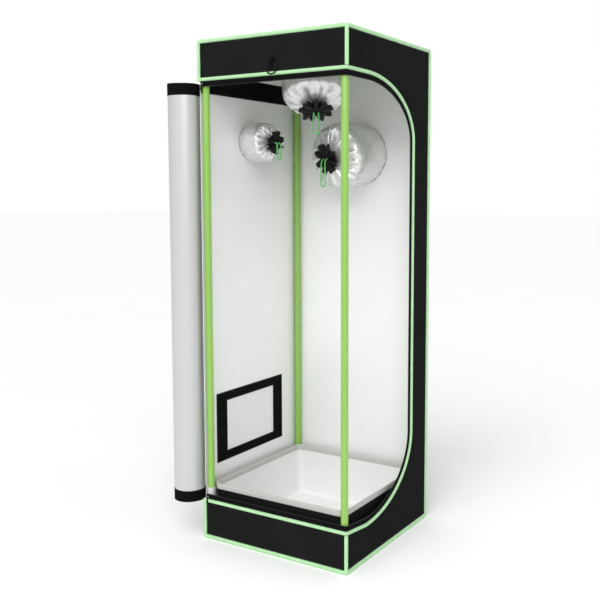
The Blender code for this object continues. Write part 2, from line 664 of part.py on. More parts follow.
def make_hang_ring():
    """A steel ring hanging from a webbing loop at the middle of the front band's lower edge."""
    stations = []
    for i in range(SIDES):
        turn = 2 * math.pi * i / SIDES
        out = Vector((math.cos(turn), 0, math.sin(turn)))
        stations.append((Vector((RING_X, RING_Y, RING_Z)) + out * RING_R, out, Y))
    ring = sweep("hang_ring", stations, circle(RING_WIRE, 6), DARK_METAL, closed=True)
    pivot_z = RING_Z + RING_R
    put_origin(ring, (RING_X, RING_Y, pivot_z))
    loop_r = RING_WIRE + TAB_SLACK + TAB_THICK / 2
    sewn_y = -SKIN_OUT - GAP - loop_r - TAB_THICK / 2
    stations = []
    for centre_y, centre_z, start in ((RING_Y, pivot_z, math.pi), (sewn_y, pivot_z + TAB_HIGH, 0.0)):
        for i in range(7):
            turn = start + math.pi * i / 6
            out = Vector((0, math.cos(turn), math.sin(turn)))
            stations.append((Vector((RING_X, centre_y, centre_z)) + out * loop_r, out, X))
    half, thick = TAB_WIDE / 2, TAB_THICK / 2
    section = [(-thick, -half), (thick, -half), (thick, half), (-thick, half)]
    sweep("ring_tab", stations, section, TAPE_CLOTH, closed=True, smooth=False)


def build():
    clear_scene()
    make_frame()
    make_pole_strap()
    make_hanging_bars()
    make_skin()
    make_edge_piping()
    make_doorway_edge()
    make_rolled_door()
    make_ports()
    make_vent()
    make_tray()
    make_hang_ring()


build()
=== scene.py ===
"""Looks of the indoor growing tent: cloth walls with a silver lining, piping, zip, rolled door,
tied duct sleeves, spill tray and powder-coated frame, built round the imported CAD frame."""
import json
from math import copysign, cos, hypot, pi, radians, sin, sqrt
from types import SimpleNamespace as Port

import bmesh
import bpy
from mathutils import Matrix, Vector, noise


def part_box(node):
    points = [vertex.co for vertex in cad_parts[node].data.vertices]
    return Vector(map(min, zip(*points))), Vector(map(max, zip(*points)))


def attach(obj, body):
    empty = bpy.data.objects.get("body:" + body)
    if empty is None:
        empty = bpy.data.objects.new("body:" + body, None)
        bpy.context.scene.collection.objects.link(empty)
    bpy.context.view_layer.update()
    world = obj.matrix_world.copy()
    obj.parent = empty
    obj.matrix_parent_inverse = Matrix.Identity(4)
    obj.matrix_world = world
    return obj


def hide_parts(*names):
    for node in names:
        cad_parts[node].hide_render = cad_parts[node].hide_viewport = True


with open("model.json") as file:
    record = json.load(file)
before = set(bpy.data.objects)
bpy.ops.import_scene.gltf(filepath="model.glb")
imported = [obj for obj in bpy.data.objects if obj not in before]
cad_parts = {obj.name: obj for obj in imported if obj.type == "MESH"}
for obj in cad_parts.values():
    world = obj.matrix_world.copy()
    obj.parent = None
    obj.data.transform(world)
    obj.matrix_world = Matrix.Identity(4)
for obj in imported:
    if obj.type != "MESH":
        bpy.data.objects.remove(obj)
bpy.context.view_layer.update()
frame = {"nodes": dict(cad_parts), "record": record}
NODES = frame["nodes"]


def vec(*xyz):
    return Vector(xyz)


X, Y, Z = vec(1, 0, 0), vec(0, 1, 0), vec(0, 0, 1)


def put(thing, **settings):
    for key, value in settings.items():
        setattr(thing, key, value)
    return thing


def place_object(name, data):
    made = bpy.data.objects.new(name, data)
    bpy.context.collection.objects.link(made)
    return made


def uneven(*at):
    """Smooth noise at a place, from -1 to 1."""
    return noise.noise(vec(*at))


def smooth_step(value):
    value = max(0.0, min(1.0, value))
    return value * value * (3 - 2 * value)


def arc(start, end, steps):
    """(cosine, sine) at even steps from one angle to another, both ends included."""
    turns = [start + (end - start) * i / steps for i in range(steps + 1)]
    return [(cos(turn), sin(turn)) for turn in turns]


def circle(count):
    return arc(0.0, 2 * pi, count)[:-1]


# ---------- camera
CAMERA_AT = (1.676, -2.614, 1.258)
CAMERA_TURN = radians(31.46)
CAMERA_DIP = radians(5.47)
CAMERA_LENS = 50.99
CAMERA_SHIFT = (-0.060, -0.045)


def make_camera():
    data = put(bpy.data.cameras.new("camera"), lens=CAMERA_LENS, shift_x=CAMERA_SHIFT[0],
               shift_y=CAMERA_SHIFT[1])
    bpy.context.scene.camera = put(place_object("camera", data), location=CAMERA_AT,
                                   rotation_euler=(pi / 2 - CAMERA_DIP, 0.0, CAMERA_TURN))


# ---------- materials
class Shade:
    """A small helper that builds one node material."""

    def __init__(self, name, colour, roughness, metallic=0.0, **constants):
        self.material = bpy.data.materials.new(name)
        self.material.use_nodes = True
        self.tree = self.material.node_tree
        self.shader = self.tree.nodes["Principled BSDF"]
        self.colour = colour
        constants.update(Base_Color=(*colour, 1.0), Roughness=roughness, Metallic=metallic)
        for key, value in constants.items():
            self.shader.inputs[key.replace("_", " ")].default_value = value
        self.place = self.tree.nodes.new("ShaderNodeTexCoord").outputs["Object"]

    def link(self, source, target):
        self.tree.links.new(source, target)

    def node(self, kind, inputs, **settings):
        """A node with its inputs: a socket is linked, and anything else is a value."""
        made = put(self.tree.nodes.new(kind), **settings)
        for key, value in inputs.items():
            if isinstance(value, bpy.types.NodeSocket):
                self.link(value, made.inputs[key])
            else:
                made.inputs[key].default_value = value
        return made

    def stretched(self, scale):
        """Object coordinates stretched by a scale along each axis."""
        return self.node("ShaderNodeMapping", {"Scale": scale, "Vector": self.place}).outputs["Vector"]

    def noise(self, scale, detail=3.0, rough=0.5, vector=None):
        inputs = {"Scale": scale, "Detail": detail, "Roughness": rough, "Vector": vector or self.place}
        return self.node("ShaderNodeTexNoise", inputs).outputs["Fac"]

    def wave(self, pitch, direction="X", vector=None):
        """A ripple with the given pitch in metres, straight along one axis."""
        inputs = {"Scale": pi / 10.0 / pitch, "Distortion": 0.0, "Vector": vector or self.place}
        return self.node("ShaderNodeTexWave", inputs, bands_direction=direction).outputs["Fac"]

    def maths(self, operation, a, b):
        return self.node("ShaderNodeMath", {0: a, 1: b}, operation=operation).outputs[0]

    def spread(self, value, low, high, from_low=0.0, from_high=1.0):
        inputs = {"Value": value, "From Min": from_low, "From Max": from_high, "To Min": low, "To Max": high}
        return self.node("ShaderNodeMapRange", inputs).outputs["Result"]

    def tint(self, fac, dark, light):
        """Base colour that runs from dark to light with fac, as shares of the material's colour."""
        ends = [(*[min(1.0, c * share) for c in self.colour], 1.0) for share in (dark, light)]
        made = self.node("ShaderNodeMix", {"Factor": fac, "A": ends[0], "B": ends[1]}, data_type="RGBA")
        self.link(made.outputs["Result"], self.shader.inputs["Base Color"])

    def rough(self, fac, low, high):
        self.link(self.spread(fac, low, high), self.shader.inputs["Roughness"])

    def bump(self, height, distance, strength=1.0):
        made = self.node("ShaderNodeBump", {"Strength": strength, "Distance": distance, "Height": height})
        before = self.shader.inputs["Normal"]
        if before.is_linked:
            self.link(before.links[0].from_socket, made.inputs["Normal"])
        self.link(made.outputs["Normal"], before)

    def weave(self, pitch, depth):
        """Crossed threads on any face square to an axis."""
        total = self.maths("ADD", self.wave(pitch, "X"), self.wave(pitch, "Y"))
        total = self.maths("ADD", total, self.wave(pitch, "Z"))
        self.bump(total, depth)
        return total


def oxford(name, colour, roughness=0.62, pitch=0.0011, gloss=0.14, sheen=0.02):
    """Coated woven polyester: fine crossed threads, faint blotches and little gloss."""
    shade = Shade(name, colour, roughness, Specular_IOR_Level=gloss, Sheen_Weight=sheen)
    threads = shade.weave(pitch, 0.00018)
    blotch = shade.noise(9.0, 4.0)
    lint = shade.noise(420.0, 2.0)
    mixed = shade.maths("ADD", shade.maths("MULTIPLY", blotch, 0.6), shade.maths("MULTIPLY", lint, 0.4))
    shade.tint(shade.maths("MULTIPLY", mixed, shade.spread(threads, 0.75, 1.1, 0.6, 2.4)), 0.60, 1.55)
    shade.rough(blotch, roughness - 0.10, roughness + 0.10)
    shade.bump(shade.noise(5.0, 2.0), 0.004, 0.35)
    return shade


def mylar(name, colour, metallic, roughness, crease=1.0, cloud_and_painted_reflection=0.06):
    """Silver film on cloth: soft waves and creases, fine diamond grain, and slight cloudiness in its colour
    that is partly uneven tone and partly painted reflection streaks.
    """
    shade = Shade(name, colour, roughness, metallic)
    shade.bump(shade.noise(3.2, 3.0), 0.020 * crease, 0.45)
    shade.bump(shade.noise(14.0, 4.0, 0.6), 0.0040 * crease, 0.40)
    shade.bump(shade.wave(0.0016, "DIAGONAL"), 0.00010, 0.4)
    shade.bump(shade.noise(60.0, 3.0), 0.0004 * crease, 0.4)
    # painted reflection: broad lighter and darker patches of the film's colour, partly uneven tone and partly
    # standing in for reflection streaks
    shade.tint(shade.noise(2.4, 4.0), 1 - cloud_and_painted_reflection, 1 + cloud_and_painted_reflection)
    shade.rough(shade.noise(11.0, 3.0), roughness - 0.07, roughness + 0.10)
    return shade


def binding(name, colour):
    """Grosgrain piping: close ribs across the tape and slightly uneven dye."""
    shade = Shade(name, colour, 0.62, Sheen_Weight=0.25, Sheen_Roughness=0.45)
    ribs = shade.weave(0.0015, 0.00030)
    shade.tint(shade.maths("MULTIPLY", shade.noise(30.0, 3.0), shade.spread(ribs, 0.8, 1.1, 0.6, 2.4)),
               0.86, 1.22)
    return shade


def powder_coat(name, colour):
    """Glossy powder coat with orange peel, faint streaks and scuffed, duller patches."""
    shade = Shade(name, colour, 0.27, Coat_Weight=0.35, Coat_Roughness=0.12)
    shade.bump(shade.noise(520.0, 2.0), 0.00010, 0.5)
    streaks = shade.noise(26.0, 3.0, vector=shade.stretched((1.0, 1.0, 0.12)))
    shade.tint(streaks, 0.88, 1.10)
    shade.rough(shade.noise(34.0, 4.0), 0.20, 0.38)
    return shade


def moulded(name, colour, roughness=0.45):
    """Moulded plastic: fine spark texture and slight shade variation."""
    shade = Shade(name, colour, roughness)
    shade.bump(shade.noise(900.0, 2.0), 0.00008, 0.7)
    shade.tint(shade.noise(22.0, 3.0), 0.90, 1.08)
    shade.rough(shade.noise(60.0, 3.0), roughness - 0.07, roughness + 0.09)
    return shade


def braid(name, colour):
    """Braided cord: two sets of strands crossing round the cord."""
    shade = Shade(name, colour, 0.70, Sheen_Weight=0.3, Sheen_Roughness=0.4)
    one = shade.wave(0.0022, "Z", vector=shade.stretched((0.7, 0.7, 1.0)))
    two = shade.wave(0.0022, "DIAGONAL")
    crossed = shade.maths("MAXIMUM", one, two)
    shade.bump(crossed, 0.0005)
    shade.tint(crossed, 0.55, 1.25)
    return shade


def herringbone(name, colour, gloss):
    """Zip tape and webbing: slanting ribs in narrow rows."""
    shade = Shade(name, colour, 0.74, Specular_IOR_Level=gloss)
    ribs = shade.wave(0.0012, "DIAGONAL")
    rows = shade.maths("ADD", shade.wave(0.0032, "Y"), shade.wave(0.0032, "Z"))
    shade.bump(shade.maths("ADD", ribs, rows), 0.00028)
    shade.tint(shade.maths("MULTIPLY", ribs, shade.noise(60.0, 3.0)), 0.55, 1.9)
    return shade


def enamel(name, colour, metallic=0.7):
    """Blackened metal, a little worn where it is handled."""
    shade = Shade(name, colour, 0.32, metallic, Specular_IOR_Level=0.15)
    wear = shade.noise(160.0, 4.0)
    shade.tint(wear, 0.6, 2.4)
    shade.rough(wear, 0.24, 0.46)
    shade.bump(shade.noise(700.0, 2.0), 0.00005, 0.5)
    return shade


def net(name, colour):
    """Fine white netting: threads on a square grid with open gaps between them."""
    shade = Shade(name, colour, 0.8, Sheen_Weight=0.2)
    threads = shade.maths("MAXIMUM", shade.wave(0.0017, "Y"), shade.wave(0.0017, "Z"))
    shade.bump(threads, 0.0004)
    shade.tint(threads, 0.92, 1.05)
    shade.link(shade.spread(threads, 0.25, 1.0, 0.55, 0.75), shade.shader.inputs["Alpha"])
    return shade


def ribbed_rim(name, colour):
    """Pale rim tape of the tray, with slanting printed ribs."""
    shade = Shade(name, colour, 0.55)
    ribs = shade.wave(0.0068, "DIAGONAL", vector=shade.stretched((1.0, 1.0, 1.7)))
    shade.tint(shade.spread(ribs, 0.0, 1.0, 0.25, 0.75), 0.62, 1.12)
    shade.bump(ribs, 0.0009, 0.7)
    shade.bump(shade.noise(300.0, 2.0), 0.0001, 0.5)
    return shade


BLACK = oxford("black_oxford", (0.0115, 0.0115, 0.0120), gloss=0.01, sheen=0.0)
CUFF = oxford("cuff_satin", (0.0050, 0.0048, 0.0051), 0.34, 0.0010, 0.34, 0.0)
LINING = mylar("silver_lining", (0.85, 0.85, 0.85), 0.20, 0.46, crease=0.35)
# the door's film is the lining turned outwards; its colour, darker than the lining's, is painted shade
ROLL_FILM_PAINTED_SHADE = mylar("door_film_painted_shade", (0.54, 0.54, 0.545), 0.30, 0.36, crease=0.12, cloud_and_painted_reflection=0.03)
# the sleeves' film gets the strongest cloudiness, which is painted reflection streaks as well as uneven tone
SLEEVE_FILM = mylar("sleeve_film", (0.74, 0.74, 0.74), 0.62, 0.25, crease=1.0, cloud_and_painted_reflection=0.14)
TRAY_FILM = mylar("tray_film", (0.78, 0.78, 0.775), 0.20, 0.45, crease=0.6)
MINT = binding("mint_binding", (0.43, 0.75, 0.39))
GREEN = powder_coat("green_powder_coat", (0.235, 0.475, 0.070))
WHITE_PLASTIC = moulded("white_plastic", (0.80, 0.81, 0.80))
BLACK_PLASTIC = moulded("black_plastic", (0.014, 0.014, 0.015), 0.40)
CORD = braid("green_cord", (0.10, 0.56, 0.12))
TAPE = herringbone("black_tape", (0.0055, 0.0055, 0.0058), gloss=0.03)
WEBBING = herringbone("white_webbing", (0.80, 0.82, 0.79), gloss=0.15)
DARK_METAL = enamel("dark_metal", (0.0045, 0.0045, 0.0050), 0.0)
STEEL = enamel("nickel", (0.42, 0.42, 0.42), 1.0)
NET = net("white_net", (0.90, 0.91, 0.90))
RIM = ribbed_rim("rim_tape", (0.52, 0.52, 0.50))
THREAD = oxford("black_thread", (0.030, 0.030, 0.032), 0.55, 0.0006, 0.2, 0.1)


# ---------- mesh helpers
def mesh_object(name, points, faces, materials, smooth=True, angle=40.0):
    mesh = bpy.data.meshes.new(name)
    mesh.from_pydata([tuple(p) for p in points], [], faces)
    shell = bmesh.new()
    shell.from_mesh(mesh)
    bmesh.ops.recalc_face_normals(shell, faces=shell.faces)
    shell.to_mesh(mesh)
    shell.free()
    for one in materials:
        mesh.materials.append(one.material)
    if smooth:
        mesh.shade_smooth()
        mesh.set_sharp_from_angle(angle=radians(angle))
    return place_object(name, mesh)


def bake_modifiers(made):
    """Replace an object's mesh by the mesh that its modifiers make."""
    graph = bpy.context.evaluated_depsgraph_get()
    fresh = bpy.data.meshes.new_from_object(made.evaluated_get(graph))
    old = made.data
    made.modifiers.clear()
    made.data = fresh
    bpy.data.meshes.remove(old)


def finish(made, slot, *nodes, body="tent"):
    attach(made, body)
    if nodes:
        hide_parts(*nodes)
    return made


def quads(rows, size, rows_close=False, closed=True, start=0):
    """Faces between rows of size points; the points of a row and the rows may close on themselves."""
    faces = []
    for i in range(rows if rows_close else rows - 1):
        here, there = start + i * size, start + (i + 1) % rows * size
        for k in range(size if closed else size - 1):
            after = (k + 1) % size
            faces.append((here + k, here + after, there + after, there + k))
    return faces


def sweep(name, stations, section, material, slot, *nodes, body="tent", closed=False, angle=40.0):
    """A piece whose section of (a, b) pairs is carried along stations of (point, a way, b way)."""
    size, last = len(section), (len(stations) - 1) * len(section)
    points = [at + u * a + v * b for at, u, v in stations for a, b in section]
    faces = quads(len(stations), size, closed)
    if not closed:
        faces += [tuple(range(size)), tuple(range(last + size - 1, last - 1, -1))]
    return finish(mesh_object(name, points, faces, [material], angle=angle), slot, *nodes, body=body)


def rounded(radius, sides=14, squash=1.0, power=1.0):
    """A round or softly squared section."""
    return [(radius * copysign(abs(c) ** power, c), radius * squash * copysign(abs(s) ** power, s))
            for c, s in circle(sides)]


def prism(name, outline, starts, materials, smooth=False):
    """A flat outline pushed between the two offsets in starts."""
    count = len(outline)
    faces = [tuple(range(count)), tuple(range(2 * count - 1, count - 1, -1))] + quads(2, count)
    return mesh_object(name, [p + start for start in starts for p in outline], faces, materials, smooth)


BLOCK = [(-1.0, -0.55), (-0.55, -1.0), (0.55, -1.0), (1.0, -0.55), (1.0, 0.55), (0.55, 1.0),
         (-0.55, 1.0), (-1.0, 0.55)]


def stitches(name, stations, closed=False, pitch=0.006, size=(0.004, 0.0009, 0.0004),
             material=THREAD, slot="outer_cloth"):
    """A row of small rounded blocks at an even pitch along stations of (point, side way, out way)."""
    long, wide, tall = size
    points, faces, carried = [], [], 0.0
    ordered = stations + stations[:1] if closed else stations
    for (p, _, out), (q, *_) in zip(ordered, ordered[1:]):
        gap = (q - p).length
        while carried < gap:
            along, out = (q - p).normalized(), Vector(out).normalized()
            at, side, start = p.lerp(q, carried / gap), out.cross(along), len(points)
            for level, share in ((0.0, 0.5), (tall, 0.31)):
                points += [at + along * (long * share * u) + side * (wide * share * v) + out * level
                           for u, v in BLOCK]
            faces += quads(2, 8, start=start)
            faces += [tuple(range(start + 7, start - 1, -1)), tuple(range(start + 8, start + 16))]
            carried += pitch
        carried -= gap
    return finish(mesh_object(name, points, faces, [material], smooth=False), slot)


def straight(start, end, u, v, count=24):
    return [(start.lerp(end, i / count), u, v) for i in range(count + 1)]


def two_sided(name, rings, thick, materials, closed, slot, *nodes, body="tent"):
    """A piece given as rings of points, thickened inwards; materials are for outside and inside."""
    size = len(rings[0])
    faces = quads(len(rings), size, closed=closed)
    made = mesh_object(name, [p for ring in rings for p in ring], faces, materials, angle=70.0)
    put(made.modifiers.new("thickness", "SOLIDIFY"), thickness=thick, offset=-1.0,
        material_offset=len(materials) - 1)
    bake_modifiers(made)
    return finish(made, slot, *nodes, body=body)


# ---------- skin
SEAM_REACH = 0.07       # how far a seam holds the cloth beside it flat
CUT_DEPTH = 0.02        # how far a cutter reaches on each side of a wall


def panel(name, node, outward, cutters=(), slack=0.0011, cell=0.021, seed=0.0,
          calm=None):
    """A cut panel of lined cloth in a CAD wall's place: flat at its seams, a little slack between.

    calm is a box, (low, high), where something sewn on keeps the cloth flat.
    """
    low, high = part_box(node)
    thin = max(range(3), key=lambda k: abs(outward[k]))
    a, b = [k for k in range(3) if k != thin]
    size_a, size_b = high[a] - low[a], high[b] - low[b]
    count_a, count_b = max(2, round(size_a / cell)), max(2, round(size_b / cell))
    row, layer_size = count_a + 1, (count_a + 1) * (count_b + 1)
    points = []
    for layer in (low[thin], high[thin]):
        for k in range(layer_size):
            p = Vector()
            p[thin] = layer
            p[a], p[b] = low[a] + size_a * (k % row) / count_a, low[b] + size_b * (k // row) / count_b
            points.append(p)
    faces = quads(count_b + 1, row, closed=False) + quads(count_b + 1, row, closed=False, start=layer_size)
    edge = list(range(count_a)) + [count_a + j * row for j in range(count_b)]
    edge += [count_b * row + i for i in range(count_a, 0, -1)] + [j * row for j in range(count_b, 0, -1)]
    faces += [(here, there, layer_size + there, layer_size + here)
              for here, there in zip(edge, edge[1:] + edge[:1])]
    made = mesh_object(name, points, faces, [BLACK, LINING])
    for cutter in cutters:
        put(made.modifiers.new("cut", "BOOLEAN"), operation="DIFFERENCE", solver="EXACT", object=cutter)
    if cutters:
        bake_modifiers(made)
    for vertex in made.data.vertices:
        p = vertex.co
        rim = min(p[a] - low[a], high[a] - p[a], p[b] - low[b], high[b] - p[b])
        if calm:
            beyond = max(max(calm[0][k] - p[k], p[k] - calm[1][k]) for k in (a, b))
            rim = min(rim, max(0.0, beyond))
        give = smooth_step(rim / SEAM_REACH)
        broad = uneven(p[a] * 2.6, p[b] * 1.7, seed)
        fine = uneven(p[a] * 9.0, p[b] * 6.0, seed + 7.0)
        vertex.co = p + outward * (slack * give * (broad + 0.35 * fine))
    for face in made.data.polygons:
        face.material_index = 1 if face.normal.dot(outward) < -0.5 else 0
    made.data.shade_smooth()
    made.data.set_sharp_from_angle(angle=radians(40))
    for cutter in cutters:
        bpy.data.objects.remove(cutter, do_unlink=True)
    finish(made, "outer_cloth", node)
    return made


PORTS = {
    "left": Port(wall="left_wall", way=X, side=Y, up=Z, hole=0.057, barrel=0.075,
             length=0.116, cuff=0.045, drop=0.062, lean=vec(0.0, -0.8660, -0.5),
             angle=8, petals=7, ripples=7, seed=3.0),
    "back": Port(wall="back_wall", way=-Y, side=X, up=Z, hole=0.118, barrel=0.128,
             length=0.194, cuff=0.060, drop=0.100, lean=vec(-0.7547, 0.0, -0.6561),
             angle=16, petals=8, ripples=12, seed=9.0),
    "roof": Port(wall="roof_panel", way=-Z, side=X, up=Y, hole=0.101, barrel=0.1165,
             length=0.228, cuff=0.062, drop=0.075, lean=vec(0.6561, -0.7547, 0.0),
             angle=30, petals=9, ripples=11, seed=17.0),
}
OPENINGS = {opening["name"]: opening["box_m"] for opening in frame["record"]["physics"]["openings"]}
NECK = 0.014            # radius of a tied sleeve
CUFF_DEPTH = 0.022
FILM = 0.0009           # thickness of the sleeves' and cuffs' cloth
GAP = 0.0003
DOOR_ARC = 0.340
DOOR_ARC_HIGH = 0.210
DOOR_ARC_LOW = 0.250
ROUND_STEPS = 24
TRAY_ROUND = 0.026

SKIN_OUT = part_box("right_wall")[1].x
CLOTH = SKIN_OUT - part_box("right_wall")[0].x
PIPE_R = (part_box("piping_back_left")[1].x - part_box("piping_back_left")[0].x) / 2
EDGE_LOW, EDGE_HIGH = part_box("piping_doorway")
EDGE_R = EDGE_HIGH.x - SKIN_OUT
DOOR_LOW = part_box("front_lower_band")[1].z + EDGE_R + GAP
DOOR_SAG = DOOR_LOW - EDGE_R - EDGE_LOW.z
DOOR_TOP, DOOR_BACK = EDGE_HIGH.z - EDGE_R, EDGE_HIGH.y - EDGE_R


def port_place(name):
    """Middle of a port at its wall's inner face, from the record's opening and the CAD's wall."""
    low, high = OPENINGS[f"{name}_duct_port"]
    way = PORTS[name].way
    axis = max(range(3), key=lambda k: abs(way[k]))
    at = (Vector(low) + Vector(high)) / 2
    at[axis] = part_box(PORTS[name].wall)[1 if way[axis] > 0 else 0][axis]
    return at


def bent(point, at, spec):
    """Where a point of a straight sleeve or cuff lies once the sleeve's tied end leans over."""
    way, lean = spec.way, spec.lean
    offset = point - at
    along, side = offset.dot(way), offset.dot(lean)
    done = max(0.0, min(spec.length, along))
    turn = radians(spec.angle) * done / spec.length
    middle = at + (way * cos(turn / 2) + lean * sin(turn / 2)) * done
    middle += (way * cos(turn) + lean * sin(turn)) * (along - done)
    return (middle + offset - way * along - lean * side
            + (lean * cos(turn) - way * sin(turn)) * side)


def doorway_round(inset):
    """(point, way out of the opening) down the upper and then the lower round of the doorway."""
    middle_y = DOOR_BACK - DOOR_ARC
    lines = []
    for middle_z, height, start, end in (
            (DOOR_TOP - DOOR_ARC_HIGH, DOOR_ARC_HIGH, pi / 2, 0.0),
            (DOOR_LOW - DOOR_SAG + DOOR_ARC_LOW, DOOR_ARC_LOW, 0.0, -pi / 2)):
        line = []
        for c, s in arc(start, end, ROUND_STEPS):
            way = vec(0, c / DOOR_ARC, s / height).normalized()
            line.append((vec(0, middle_y + DOOR_ARC * c, middle_z + height * s) - way * inset, way))
        lines.append(line)
    return lines


def low_line(y, inset=0.0):
    """Height of the doorway's bottom line on the right wall, which dips towards its round."""
    share = (y + SKIN_OUT) / (DOOR_BACK - DOOR_ARC + SKIN_OUT)
    return DOOR_LOW + inset - DOOR_SAG * max(0.0, min(1.0, share))


def port_cutter(name):
    spec = PORTS[name]
    at, side, up = port_place(name), spec.side * spec.hole, spec.up * spec.hole
    deep = spec.way * CUT_DEPTH
    return prism("cutter", [at + side * c + up * s for c, s in circle(48)], (-deep, deep), [])


def make_skin():
    """Walls, bands, roof and floor."""
    low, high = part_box("floor_panel")
    deep = X * CUT_DEPTH
    low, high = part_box("vent_mesh")
    cutters = port_cutter("left"), prism("cutter", rectangle(low.x, low, high), (-deep, deep), [])
    panel("left_cloth", "left_wall", -X, cutters, seed=1.0,
          calm=(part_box("vent_cover")[0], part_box("vent_border")[1]))
    panel("back_cloth", "back_wall", Y, (port_cutter("back"),), seed=2.0)
    panel("roof_cloth", "roof_panel", Z, (port_cutter("roof"),), seed=3.0)
    panel("floor_cloth", "floor_panel", -Z, slack=0.0, seed=4.0, cell=0.05)
    for name, node, seed in (("front_top_cloth", "front_top_band", 5.0),
                             ("front_low_cloth", "front_lower_band", 6.0)):
        low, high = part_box(node)
        panel(name, node, -Y, seed=seed, slack=0.0007)
    edge = EDGE_R + GAP
    upper, lower = doorway_round(-edge)
    front = -SKIN_OUT - 0.05
    outline = [(point.y, point.z) for point, _ in upper + lower]
    outline += [(-SKIN_OUT, DOOR_LOW - edge), (front, DOOR_LOW - edge), (front, DOOR_TOP + edge)]
    doorway = prism("cutter", [vec(SKIN_OUT, y, z) for y, z in outline], (-deep, deep), [])
    panel("right_cloth", "right_wall", X, (doorway,), seed=7.0)


# ---------- piping and zip
def footprint(z, out, bend=0.010, steps=7):
    """Stations round the footprint's edge, with a round at each corner."""
    stations = []
    for start in (0.0, pi / 2, pi, 3 * pi / 2):
        middle = vec(cos(start + pi / 4), sin(start + pi / 4), 0) * ((out - bend) * sqrt(2))
        for c, s in arc(start, start + pi / 2, steps):
            way = vec(c, s, 0)
            stations.append((middle + way * bend + Z * z, way, Z))
    return stations


def doorway_edge(inset, out, bend=0.006, step=0.03):
    """Stations along the doorway's edge: (point, way to the opening, way out of the wall)."""
    run = out - bend - EDGE_LOW.x
    count = round(run / step)
    half = [(vec(EDGE_LOW.x + run * i / count, -out, 0), -Y) for i in range(count)]
    for c, s in arc(-pi / 2, 0.0, 6):
        way = vec(c, s, 0)
        half.append((vec(out - bend, bend - out, 0) + way * bend, way))
    run = DOOR_BACK - DOOR_ARC - (bend - out)
    count = round(run / step)
    half += [(vec(out, bend - out + run * i / count, 0), X) for i in range(1, count)]
    upper, lower = ([(point + X * out, -way, X) for point, way in line] for line in doorway_round(inset))
    stations = [(p + Z * (DOOR_TOP - inset), -Z, way) for p, way in half] + upper
    top, low = upper[-1][0], lower[0][0]
    count = round((top.z - low.z) / step)
    stations += [(top.lerp(low, i / count), -Y, X) for i in range(1, count)]
    return stations + lower + [(p + Z * low_line(p.y, inset), Z, way) for p, way in reversed(half)]


def make_piping():
    """Binding round the outer edges and the doorway, each with its row of stitches on the cloth."""
    high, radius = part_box("piping_top")[1], PIPE_R
    out = high.x - radius
    section = rounded(radius, 16, power=0.82)
    low_end = low_line(2 * EDGE_R - SKIN_OUT) - EDGE_R - GAP
    for name, z, ends in (("top", high.z - radius, (DOOR_TOP - EDGE_R, DOOR_TOP + EDGE_R + GAP)),
                          ("bottom", radius, (DOOR_LOW + EDGE_R, low_end))):
        sweep(f"{name}_piping", footprint(z, out, 0.0065), section, MINT, "binding",
              f"piping_{name}", closed=True)
        for side, x, end in (("left", -out, ends[0]), ("right", out, ends[1])):
            line = straight(vec(x, -out, z), vec(x, -out, end), X, Y, 6)
            sweep(f"{name}_piping_{side}", line, rounded(radius * 0.97, 16, power=0.82), MINT, "binding")
    for side, x in (("left", -out), ("right", out)):
        low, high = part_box(f"piping_back_{side}")
        line = straight(vec(x, out, low.z), vec(x, out, high.z), X, Y)
        sweep(f"back_piping_{side}", line, section, MINT, "binding", f"piping_back_{side}")
    section = [(a, max(b, -0.0034)) for a, b in rounded(EDGE_R, 16, power=0.85)]
    sweep("doorway_piping", doorway_edge(0.0, SKIN_OUT), section, MINT, "binding",
          "piping_doorway")
    face, pitch, size = SKIN_OUT + 0.0002, 0.0062, (0.0042, 0.0009, 0.0004)
    stitches("doorway_stitches", doorway_edge(-EDGE_R - 0.0042, face), False, pitch, size)
    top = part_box("front_top_band")[1].z + GAP - 0.0046
    for name, z in (("top_stitches", top), ("bottom_stitches", 2 * radius + 0.0049)):
        row = [(p, v, u) for p, u, v in footprint(z, face + 0.0002, 0.003)]
        stitches(name, row, True, pitch, size)


ZIP_WIDTH = 0.018
PULL_THICK = 0.0014


def make_zip():
    """Half of the zip: its tape inside the doorway's piping, and the row of teeth on its edge."""
    half, thick = ZIP_WIDTH / 2, 0.0004
    inset = EDGE_R + GAP + half
    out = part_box("zip_tape")[1].x - 0.0005
    section = [(-half, -thick), (half, -thick), (half, thick), (-half, thick)]
    sweep("zip_cloth", doorway_edge(inset, out), section, TAPE, "tape_cloth", "zip_tape",
          angle=30.0)
    sweep("zip_cord", doorway_edge(inset + half - 0.0012, out), rounded(0.0011, 8), TAPE, "tape_cloth")
    stitches("zip_teeth", doorway_edge(inset + half - 0.0004, out + 0.0004), False, 0.0044,
             (0.0022, 0.0040, 0.0009), BLACK_PLASTIC, "tape_cloth")
    stitches("zip_tape_stitches", doorway_edge(inset - half + 0.0045, out + 0.0003), False, 0.0058,
             (0.0038, 0.0008, 0.0003), slot="tape_cloth")


